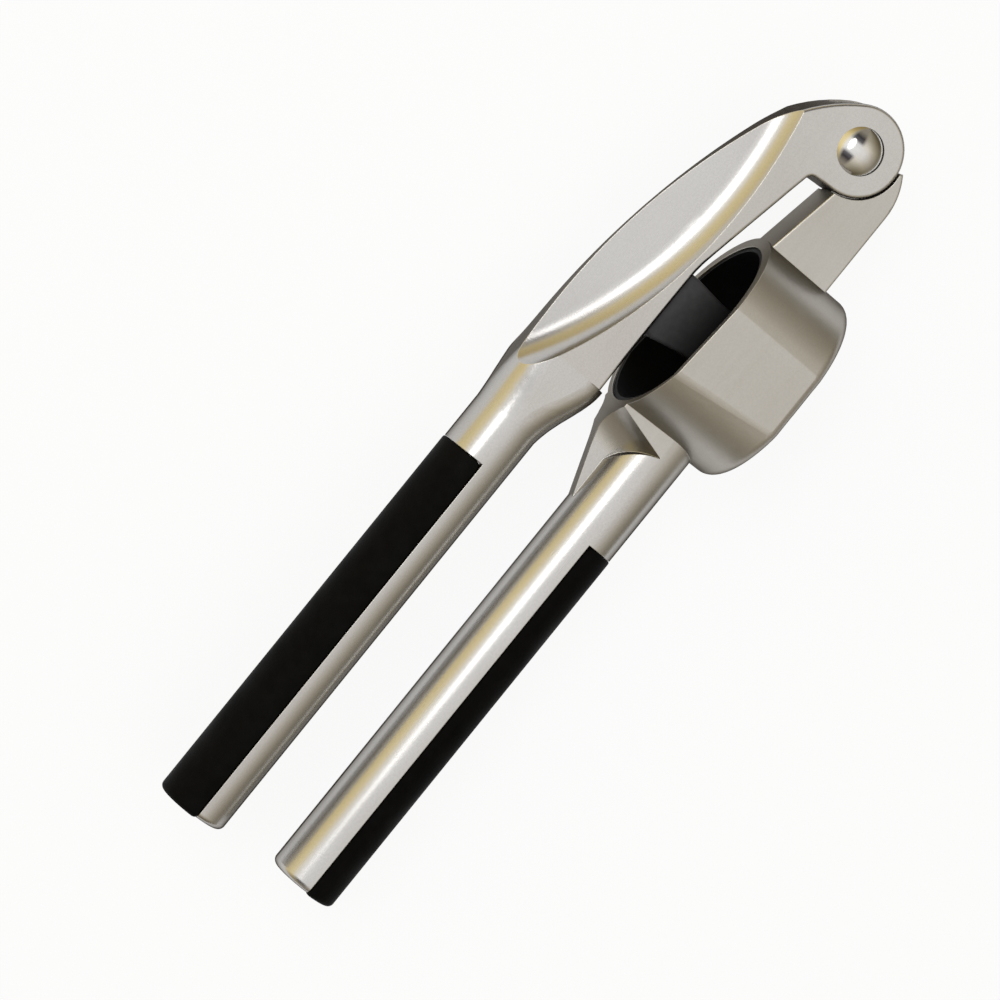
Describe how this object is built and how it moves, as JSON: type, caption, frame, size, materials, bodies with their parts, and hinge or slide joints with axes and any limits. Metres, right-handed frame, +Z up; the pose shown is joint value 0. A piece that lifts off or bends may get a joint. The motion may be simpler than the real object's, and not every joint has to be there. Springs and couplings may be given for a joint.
{
  "type": "garlic press",
  "caption": "Hand garlic press with two long round handles on one hinge; a plunger under the upper lever presses cloves through a perforated cup in an oval hopper.",
  "frame": {"origin": "centre of the flat side of the hopper on which the press lies", "axes": "+X along the handles towards the hinge, +Y from the hopper towards the lever, +Z up, along the hinge axis"},
  "size_m": [0.1928, 0.0481, 0.0364],
  "materials": {
    "nickel_casting": "satin nickel plating on a zinc casting",
    "dark_coating": "dark grey non-stick coating on a casting",
    "black_coating": "black non-stick coating on steel",
    "polished_steel": "polished",
    "rubber": "matt black rubber"
  },
  "bodies": {
    "base": {"hopper_with_lower_handle": "nickel_casting", "strainer_cup": "black_coating", "lower_grip": "rubber"},
    "lever": {"lever_with_upper_handle": "nickel_casting", "plunger": "dark_coating", "hinge_pin": "polished_steel", "hinge_pin_cap": "polished_steel", "upper_grip": "rubber"}
  },
  "joints": [
    {"name": "lever_hinge", "type": "hinge", "parent": "base", "child": "lever", "pos_m": [0.0471, 0.0071, 0.0182], "axis": [0, 0, -1], "range_deg": [0, 120]}
  ]
}
